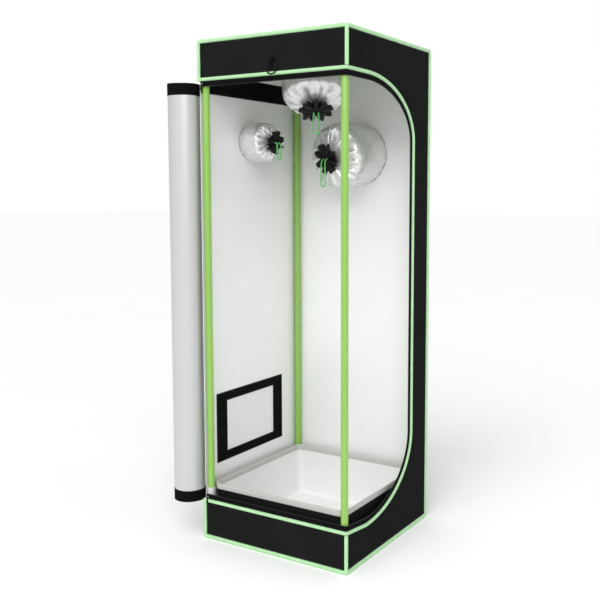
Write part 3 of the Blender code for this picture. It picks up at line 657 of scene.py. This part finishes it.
def make_sliders():
    """Zip sliders: a domed body with two shoulders, a bridge and a pull tab."""
    for node, body in (("zip_slider_upper", "upper_zip_slider"), ("zip_slider_lower", "lower_zip_slider")):
        low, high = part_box(node)
        middle = (low.x + high.x) / 2
        shell = [(vec(middle - 0.0055 + 0.011 * share, high.y - 0.0012, high.z - 0.005), Z * spread, Y)
                 for share, spread in ((0.0, 0.80), (0.25, 1.0), (0.75, 0.95), (1.0, 0.70))]
        sweep(f"{node}_body", shell, rounded(0.0047, 16, squash=0.26, power=0.7), DARK_METAL,
              "slider_metal", node, body=body)
        arch = [(vec(middle - 0.0036 * c, high.y - 0.0022 - 0.0014 * s, high.z - 0.005), Z,
                 vec(-c, -s, 0)) for c, s in arc(0.0, pi, 8)]
        sweep(f"{node}_bridge", arch, rounded(0.0008, 8), STEEL, "slider_metal", body=body)
        outline = []
        for start, radius, z in ((0.0, 0.0024, high.z - 0.0065 - 0.0024), (pi, 0.0037, low.z + 0.0037)):
            outline += [vec(middle + radius * c, low.y + 0.0016, z + radius * s)
                        for c, s in arc(start, start + pi, 8)]
        pull = prism(f"{node}_pull", outline, (Vector(), Y * -PULL_THICK), [DARK_METAL], True)
        put(pull.modifiers.new("edges", "BEVEL"), width=PULL_THICK * 0.3, segments=2,
            limit_method="ANGLE")
        bake_modifiers(pull)
        pull.data.shade_smooth()
        finish(pull, "slider_metal", body=body)


# ---------- rolled door
ROLL_TURNS, ROLL_PITCH, ROLL_STEPS = 3.9, 0.0076, 56
ROLL_START = radians(75)        # where the outer edge lies, hidden behind the pole


def rolled_sheet(name, node, middle, low, high, outer, thick, rows, materials, wobble, slot):
    """One sheet rolled up round a vertical line, from its outer edge inwards, and its length."""
    line = [(ROLL_START - 2 * pi * i / ROLL_STEPS, outer - ROLL_PITCH * i / ROLL_STEPS)
            for i in range(int(ROLL_TURNS * ROLL_STEPS) + 1)]
    seed = 1.0
    points = []
    for turn, radius in line:
        c, s = cos(turn), sin(turn)
        for side, order in ((0.0, range(rows + 1)), (-thick, range(rows, -1, -1))):
            for share in (j / rows for j in order):
                z = low + (high - low) * share
                ripple = uneven(c * 1.6, s * 1.6, z * 1.3 + seed)
                crease = uneven(turn * 2.2, z * 0.8, seed + 5.0)
                r = radius + side - wobble * (0.5 + 0.5 * ripple) - wobble * 0.5 * abs(crease)
                lift = 0.0016 * uneven(turn * 0.7, share * 3.0, seed) * (share in (0.0, 1.0))
                points.append(vec(middle.x + r * c, middle.y + r * s, z + lift))
    column = 2 * (rows + 1)
    faces = quads(len(line), column)
    for start in (0, (len(line) - 1) * column):
        last = start + column - 1
        faces += [(start + j, start + j + 1, last - j - 1, last - j) for j in range(rows)]
    made = mesh_object(name, points, faces, materials)
    if len(materials) > 1:
        for face in made.data.polygons:
            away = face.center - middle
            away.z = 0.0
            face.material_index = 0 if face.normal.dot(away) > 0 else 1
    return finish(made, slot, node, body="door"), sum(r * 2 * pi / ROLL_STEPS for _, r in line)


def make_door():
    """The door rolled into a column, film side out, with its black hems at the ends; the film's colour,
    darker than the lining's, is painted shade.
    """
    low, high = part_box("door_roll")
    middle = (low + high) / 2
    middle.z = 0.0
    outer = (high.x - low.x) / 2
    # painted shade: the rolled film is coloured darker than the same lining inside the tent
    made, length = rolled_sheet("door_cloth", "door_roll", middle, low.z - 0.004, high.z + 0.004,
                                outer - 0.0006, 0.0014, 40, [ROLL_FILM_PAINTED_SHADE, BLACK], 0.0010, "foil_lining")
    for part in ("lower", "upper"):
        node = f"door_hem_{part}"
        low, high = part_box(node)
        made, length = rolled_sheet(f"door_{part}_tape", node, middle, low.z, high.z, outer + 0.0003,
                                    0.0030, 6, [TAPE], 0.0008, "hem_cloth")


# ---------- duct sleeves
def barrel_profile(hole, barrel, length, count):
    """(distance along, radius) from the wall to the tied neck."""
    swell, flare = 0.42 * length, 0.35
    out = []
    for i in range(count + 1):
        share = i / count
        if share < flare:
            t = share / flare
            out.append((swell * t, hole + (barrel - hole) * sin(pi / 2 * t)))
        else:
            t = ((share - flare) / (1 - flare)) ** 0.45
            out.append((swell + (length - swell) * t,
                        NECK + (barrel - NECK) * max(0.0, 1 - t ** 6.5) ** 0.5))
    return out


def make_sleeve(name):
    """A duct sleeve pushed inwards and tied: a taut silver barrel whose end face gathers in pleats."""
    spec = PORTS[name]
    at, barrel = port_place(name), spec.barrel
    way, side, up, seed, length = spec.way, spec.side, spec.up, spec.seed, spec.length
    profile = barrel_profile(spec.hole, barrel - 0.001, length, 72)
    pleats, around = spec.petals + 6, 216
    rings = []
    for along, radius in profile:
        share = along / length
        gather = smooth_step((1 - radius / barrel) / 0.30) * (share > 0.5)
        near = smooth_step(1 - share / 0.15)
        ring = []
        for k, (c, s) in enumerate(circle(around)):
            turn = 2 * pi * k / around
            warp = 1.2 * uneven(c * 1.5, s * 1.5, seed)
            warp += 0.5 * uneven(c * 3.0, s * 3.0, share * 2.0 + seed)
            valley = abs(sin(pleats * turn / 2 + 2.0 * warp)) ** 1.4
            deep = 0.6 + 0.8 * uneven(c * 2.0, s * 2.0, seed + 30.0)
            soft = 0.018 * uneven(c * 1.8, s * 1.8, share * 2.2 + seed)
            crumple = gather * uneven(c * 6.0, s * 6.0, share * 7.0 + seed)
            slack = 0.012 * abs(sin(pleats * turn / 2 + 3 * warp)) * share
            r = radius * (1 - 0.30 * gather * deep * valley - 0.014 * near * valley)
            r -= barrel * (0.018 + soft + 0.014 * crumple + slack) * min(1.0, share * 4)
            sink = barrel * (0.17 * gather * deep * valley - 0.04 * crumple)
            inset = max(0.0, min(sink, along)) * (radius > NECK * 1.3)
            point = at + way * (along - inset + GAP) + side * (r * c) + up * (r * s)
            ring.append(bent(point, at, spec))
        rings.append(ring)
    made = two_sided(f"{name}_sleeve_cloth", rings, FILM, [SLEEVE_FILM, BLACK], True, "foil_lining",
                     f"sleeve_{name}")
    middle, radius = at - way * (CLOTH + 0.0006), spec.hole + 0.004
    rim = [(middle + (side * c + up * s) * radius, side * c + up * s, -way) for c, s in circle(96)]
    sweep(f"{name}_port_binding", rim, [(-0.0065, 0.0), (-0.006, FILM), (0.006, FILM), (0.0065, 0.0)],
          TAPE, "tape_cloth", closed=True)
    stitches(f"{name}_port_stitches", [(p + u * 0.0035 + v * FILM, u, v) for p, u, v in rim], True)


# (distance along, radius) of the bunched cloth in a cuff's middle
HEART = ((0.0, 0.006), (0.006, 0.0105), (0.011, 0.0095), (0.0145, 0.0050), (0.0155, 0.0012))


def make_cuff(name):
    """The sleeve's black hem past its drawstring, burst open in a rosette of folded petals."""
    spec = PORTS[name]
    at = port_place(name)
    way, side, up, seed = spec.way, spec.side, spec.up, spec.seed + 40.0
    start = at + way * (spec.length + 2 * GAP)
    petals, rows = spec.petals, 20
    around = petals * 52
    inner = NECK * 0.62
    rings = []
    for j in range(rows + 1):
        share = j / rows
        ring = []
        for k, (c, s) in enumerate(circle(around)):
            turn = 2 * pi * k / around
            lean = 1.1 * uneven(c * 1.6, s * 1.6, seed + share * 0.6)
            phase = petals * turn / 2 + lean
            fold = abs(sin(phase)) ** 0.75
            ripple = 0.5 + 0.5 * sin(spec.ripples * phase + 2.0 * lean)
            size = 1.02 + 0.40 * uneven(c * 2.2, s * 2.2, seed)
            outer = min(spec.cuff * 1.02, spec.cuff * size) * (1 - 0.42 * (1 - fold) ** 2)
            reach = (inner + (outer - inner) * share) * (1 - 0.08 * ripple * share)
            lift = 0.45 + 0.10 * sin(min(1.0, share * 1.2) * pi / 2)
            lift += 0.90 * smooth_step(share * 4 + 0.15) * (fold - 0.5)
            lift += 0.55 * min(1.0, share * 2) * (ripple - 0.5)
            lift = CUFF_DEPTH * max(0.02, min(1.02, lift))
            swirled = turn + 0.30 * share * sin(2 * phase) / petals
            out = side * cos(swirled) + up * sin(swirled)
            ring.append(bent(start + way * lift + out * reach, at, spec))
        rings.append(ring)
    made = two_sided(f"{name}_cuff_cloth", rings, FILM, [CUFF], True, "cuff_cloth",
                     f"cuff_{name}")
    heart = [[bent(start + way * along + (side * cos(t) + up * sin(t)) * radius
                   * (1 + 0.16 * sin(7 * t + i)), at, spec) for t in [2 * pi * k / 42 for k in range(42)]]
             for i, (along, radius) in enumerate(HEART)]
    two_sided(f"{name}_cuff_heart", heart, 0.0008, [CUFF], True, "cuff_cloth")


CORD_THICK = 0.005


def drawstring_route(mouth, side, lead, drop):
    """Points of a loop with two hanging legs joined by a half turn, all on one smooth line."""
    spread = 0.011
    reach = 0.012 if abs(lead.z) < 0.5 else 0.0
    leg = drop - spread
    knots = []
    for i in range(11):
        t = i / 10
        forward = reach * sin(min(1.0, t * 3) * pi / 2)
        fall = leg * t if reach == 0.0 else leg * t ** 1.6
        ease = spread * (0.75 + 0.25 * sin(t * pi / 2))
        knots.append(mouth + lead * forward - side * ease - Z * fall)
    mirror = [k - 2 * side * (k - mouth).dot(side) for k in reversed(knots)]
    turn_at = mouth + lead * reach - Z * leg
    return knots + [turn_at - (side * c + Z * s) * spread for c, s in arc(0.0, pi, 8)[1:-1]] + mirror


def make_drawstring(name):
    """The cord that ties the sleeve, its slack hanging from the cuff's mouth in a loop."""
    spec = PORTS[name]
    at = port_place(name)
    tip = at + spec.way * (spec.length + 3 * GAP + CUFF_DEPTH)
    mouth = bent(tip, at, spec)
    way = (bent(tip + spec.way * CUFF_DEPTH, at, spec) - mouth).normalized()
    side = way.cross(Z).normalized()
    lead = -Z if way.z < -0.5 else way
    knots = drawstring_route(mouth, side, lead, spec.drop)
    line = put(bpy.data.curves.new(f"{name}_cord", "CURVE"), dimensions="3D", use_fill_caps=True,
               bevel_depth=CORD_THICK / 2, bevel_resolution=4)
    spline = line.splines.new("POLY")
    spline.points.add(len(knots) - 1)
    for point, knot in zip(spline.points, knots):
        point.co = (*knot, 1.0)
    line.materials.append(CORD.material)
    made = finish(place_object(f"{name}_cord", line), "drawstring", f"drawstring_{name}")


# ---------- vent, trim, tray, ring
def frame_strip(name, low, high, width, thick, out, *nodes, body="tent"):
    """A rectangular border of tape lying on a wall square to X: width is (along Y, along Z)."""
    points = []
    for corner, y, z in zip(rectangle(low.x, low, high), (1, -1, -1, 1), (1, 1, -1, -1)):
        inward = Y * y * width[0] + Z * z * width[1]
        for inset, level in ((0.0, 0.0), (0.02, thick), (0.98, thick), (1.0, 0.0)):
            points.append(corner + inward * inset + out * level)
    made = mesh_object(name, points, quads(4, 4, True), [TAPE], smooth=False)
    return finish(made, "tape_cloth", *nodes, body=body)


def rectangle(x, low, high, inset=(0.0, 0.0)):
    """Corners of a rectangle square to X, inset from a box's sides along Y and Z."""
    y0, y1, z0, z1 = low.y + inset[0], high.y - inset[0], low.z + inset[1], high.z - inset[1]
    return [vec(x, y, z) for y, z in ((y0, z0), (y1, z0), (y1, z1), (y0, z1))]


def outline_stations(corners, out, step=0.02):
    stations = []
    for p, q in zip(corners, corners[1:] + corners[:1]):
        count = max(1, round((q - p).length / step))
        stations += [(p.lerp(q, i / count), Z, out) for i in range(count)]
    return stations


def make_vent():
    """The low window: a border of hook tape, netting, and the cover outside."""
    low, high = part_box("vent_border")
    net_low, net_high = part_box("vent_mesh")
    wide, tall = net_low.y - low.y + 0.0027, net_low.z - low.z + 0.0027
    frame_strip("vent_frame_tape", low, high, (wide, tall), 0.0014, X, "vent_border")
    for name, inset in (("outer", (0.004, 0.004)), ("inner", (wide - 0.004, tall - 0.004))):
        corners = rectangle(low.x + 0.0014, low, high, inset)
        stitches(f"vent_stitches_{name}", outline_stations(corners, X), True)
    low, high = net_low, net_high
    nets = prism("vent_net", rectangle(0, low, high), (X * low.x, X * high.x), [NET])
    finish(nets, "vent_mesh", "vent_mesh")
    make_vent_cover()


def make_vent_cover():
    """The window's cover: lined cloth with a hook tape border, hung from its hinge outside."""
    low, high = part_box("vent_cover")
    hinge = next(joint["pos_m"][0] for joint in frame["record"]["behaviour"]["joints"]
                 if joint["name"] == "vent_cover_fold")
    wide, tall = high.y - low.y, high.z - low.z - 0.0035
    across, down = 28, 18
    rings = []
    for j in range(down + 1):
        t = j / down
        row = []
        for i in range(across + 1):
            wave = abs(0.0002 * uneven(i / across * 4, t * 3, 0)) * smooth_step(t * 3)
            row.append(vec(hinge - 0.0001 - wave, low.y + wide * i / across, high.z - tall * t))
        rings.append(row)
    cover = two_sided("vent_cover_cloth", rings, 0.0005, [LINING, BLACK], False, "outer_cloth",
                      "vent_cover", body="vent_flap")
    for face in cover.data.polygons:
        face.material_index = 1 if face.normal.x > 0 else 0
    hook_low = vec(hinge - 0.0005, low.y + 0.004, high.z - tall + 0.004)
    hook_high = vec(hinge - 0.0005, high.y - 0.004, high.z - 0.012)
    frame_strip("vent_cover_tape", hook_low, hook_high, (0.022, 0.022), 0.0006, -X, body="vent_flap")
    roll = straight(vec(hinge, low.y, high.z), vec(hinge, high.y, high.z), X, Z, 20)
    sweep("vent_cover_hem", roll, rounded(0.0010, 10), TAPE, "tape_cloth", body="vent_flap")


BAND_LOW, BAND_HIGH = 1.601, 1.673      # black band's height on the left wall


def make_wall_trim():
    """Black band high on the left wall, with a row of stitches along each edge."""
    low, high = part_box("left_wall")
    inner, count = high.x + 0.0004, 40
    rings = []
    for z in (BAND_LOW, BAND_LOW + 0.002, BAND_HIGH - 0.002, BAND_HIGH):
        x = inner + (0.0014 if BAND_LOW < z < BAND_HIGH else 0.0004)
        rings.append([vec(x, low.y + (high.y - low.y) * i / count, z) for i in range(count + 1)])
    band = two_sided("wall_band", rings, 0.0004, [TAPE], False, "tape_cloth")
    for z in (BAND_LOW + 0.006, BAND_HIGH - 0.006):
        line = straight(vec(inner + 0.0015, low.y + 0.004, z),
                                 vec(inner + 0.0015, high.y - 0.004, z), Z, X)
        stitches(f"wall_band_stitches_{round(z * 1000)}", line)


STRAP_TURN = 2.15 * pi      # a whole turn and a short lap


def make_strap():
    """White strap round the front left upright, its end lapped."""
    low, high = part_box("pole_strap")
    middle, radius = (low + high) / 2, (high.x - low.x) / 2
    rows, around = 12, 60
    rings = []
    for j in range(rows + 1):
        z = low.z + (high.z - low.z) * j / rows
        edge = 0.0005 * (j in (0, rows))
        ring = []
        for k, (c, s) in enumerate(arc(radians(-60), radians(-60) + STRAP_TURN, around)):
            r = radius - 0.0006 + 0.0007 * k / around - edge
            ring.append(vec(middle.x + r * c, middle.y + r * s, z))
        rings.append(ring)
    made = two_sided("pole_strap_web", rings, 0.0008, [WEBBING], False, "white_webbing",
                     "pole_strap")


TRAY_LEAN = 0.0125      # how much further out a tray wall's rim is than its foot


def tray_half(z):
    """Half the tray's width at a height: it leans out from its floor to its rim."""
    low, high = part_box("floor_tray")
    return high.x - TRAY_LEAN * (high.z - z) / (high.z - low.z)


def make_tray():
    """Spill tray: stiff coated cloth leaning out to a pale ribbed rim, with a film floor."""
    low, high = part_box("floor_tray")
    top, base, half, tall = high.z, low.z, high.x, high.z - low.z
    foot = tray_half(base)
    levels = [top - (tall - 0.008) * i / 14 for i in range(15)]
    outer = [(tray_half(z) - 0.0002, z) for z in levels]
    outer += [(foot - 0.0022, base + 0.0025), (foot - 0.008, base + 0.0003)]
    inner = [(foot - 0.010, base + 0.0018), (foot - 0.0045, base + 0.0040)]
    inner += [(r - 0.0014, z) for r, z in outer[14::-1]]
    wall = tray_shell("tray_cloth", outer, inner)
    for face in wall.data.polygons:
        x, y = face.center.x, face.center.y
        out = face.normal.x * x + face.normal.y * y
        face.material_index = 0 if out > 0.2 * hypot(x, y) or face.normal.z < -0.5 else 1
    finish(wall, "tray_cloth", "floor_tray", body="tray")
    rim = 0.021
    middle = top - rim / 2
    stations = footprint(middle, tray_half(middle) - 0.0008, TRAY_ROUND, 8)
    section = [(0.0011, -rim / 2), (0.0014, 0.0), (0.0010, rim / 2 - 0.001), (0.0, rim / 2 + 0.0004),
               (-0.0020, rim / 2 - 0.001), (-0.0026, 0.0), (-0.0020, -rim / 2), (-0.0012, -rim / 2),
               (-0.0010, 0.0), (0.0, rim / 2 - 0.0015), (0.0006, 0.0), (0.0006, -rim / 2)]
    sweep("tray_rim_tape", stations, [(a + TRAY_LEAN / tall * b, b) for a, b in section], RIM,
          "tray_cloth", body="tray", closed=True, angle=50.0)


def tray_shell(name, outside, inside):
    """A bowl from a wall section of (half width, z) pairs carried round the footprint."""
    section = outside + inside
    points = [p for half, z in section for p, _, _ in footprint(z, half, TRAY_ROUND, 8)]
    loop, foot = len(points) // len(section), len(outside) - 1
    faces = [face for face in quads(len(section), loop, True) if face[0] // loop != foot]
    under, over = foot * loop, len(outside) * loop
    faces.append(tuple(range(under, under + loop)))
    faces.append(tuple(range(over + loop - 1, over - 1, -1)))
    return mesh_object(name, points, faces, [BLACK, TRAY_FILM])


def make_ring():
    """The hanging ring and the webbing loop that holds it."""
    low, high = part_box("hang_ring")
    middle, wire = (low + high) / 2, 0.0025
    radius = (high.x - low.x) / 2 - wire
    ways = [vec(c, 0, s) for c, s in circle(56)]
    sweep("ring_wire", [(middle + way * radius, way, Y) for way in ways], rounded(wire, 14), DARK_METAL,
          "ring_metal", "hang_ring", body="ring", closed=True)
    low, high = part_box("ring_tab")
    middle, half, loop, thick = (low.x + high.x) / 2, (high.x - low.x) / 2, 0.0050, 0.0006
    stations = []
    for y, z, start in ((low.y + loop + thick, low.z + loop + thick, pi),
                        (high.y - loop - thick, high.z - loop - thick, 0.0)):
        ways = [vec(0, c, s) for c, s in arc(start, start + pi, 12)]
        stations += [(vec(middle, y, z) + way * loop, way, X) for way in ways]
    section = [(-thick, -half), (thick, -half), (thick, half), (-thick, half)]
    sweep("ring_webbing", stations, section, TAPE, "tape_cloth", "ring_tab", closed=True,
          angle=50.0)


def paint_frame():
    """Materials for the CAD pieces that keep their own shape."""
    coats = {"upright": GREEN, "rail": GREEN, "hanging": GREEN, "corner": WHITE_PLASTIC, "bar": BLACK_PLASTIC}
    for node, made in NODES.items():
        coat = coats.get(node.split("_")[0])
        if coat:
            made.data.materials.clear()
            made.data.materials.append(coat.material)


# ---------- studio
SKY_LIGHT = 0.62        # strength of the white sky that lights the tent
FLOOR_HALF = 40.0


def light(name, kind, way, at=(0, 0, 0), **settings):
    """A lamp that shines along a way."""
    data = put(bpy.data.lights.new(name, kind), **settings)
    put(place_object(name, data), location=at, rotation_euler=way.to_track_quat("-Z", "Y").to_euler())


def make_studio():
    """Soft light from all round, a broad sun from the front, and a pale floor."""
    world = bpy.data.worlds.new("studio")
    bpy.context.scene.world = world
    world.use_nodes = True
    nodes, links = world.node_tree.nodes, world.node_tree.links
    sky = nodes["Background"]
    sky.inputs["Color"].default_value = (1.0, 1.0, 1.0, 1.0)
    level = nodes.new("ShaderNodeMapRange")
    level.inputs["To Min"].default_value = SKY_LIGHT
    links.new(nodes.new("ShaderNodeLightPath").outputs["Is Camera Ray"], level.inputs["Value"])
    links.new(level.outputs["Result"], sky.inputs["Strength"])
    light("sun", "SUN", vec(-0.25, 1.0, -1.0), energy=1.9, angle=radians(50))
    key_at = vec(2.4, -3.0, 2.6)
    light("key", "AREA", Z - key_at, key_at, energy=30.0, shape="RECTANGLE", size=1.6, size_y=1.6)
    corners = [(X * a + Y * b) * FLOOR_HALF - Z * 0.0006 for a, b in ((-1, -1), (1, -1), (1, 1), (-1, 1))]
    mesh_object("studio_floor", corners, [(0, 1, 2, 3)], [floor_paint()], smooth=False)
    bpy.context.scene.view_settings.view_transform = "Standard"


def floor_paint():
    shade = Shade("studio_floor", (0.96, 0.96, 0.96), 0.8)
    shade.tint(shade.noise(1.5, 2.0), 0.99, 1.01)
    return shade


def build():
    make_camera()
    for name in PORTS:
        make_drawstring(name)
    paint_frame()
    make_skin()
    make_piping()
    make_zip()
    make_sliders()
    make_door()
    for name in PORTS:
        make_sleeve(name)
        make_cuff(name)
    make_vent()
    make_wall_trim()
    make_strap()
    make_tray()
    make_ring()
    make_studio()


build()
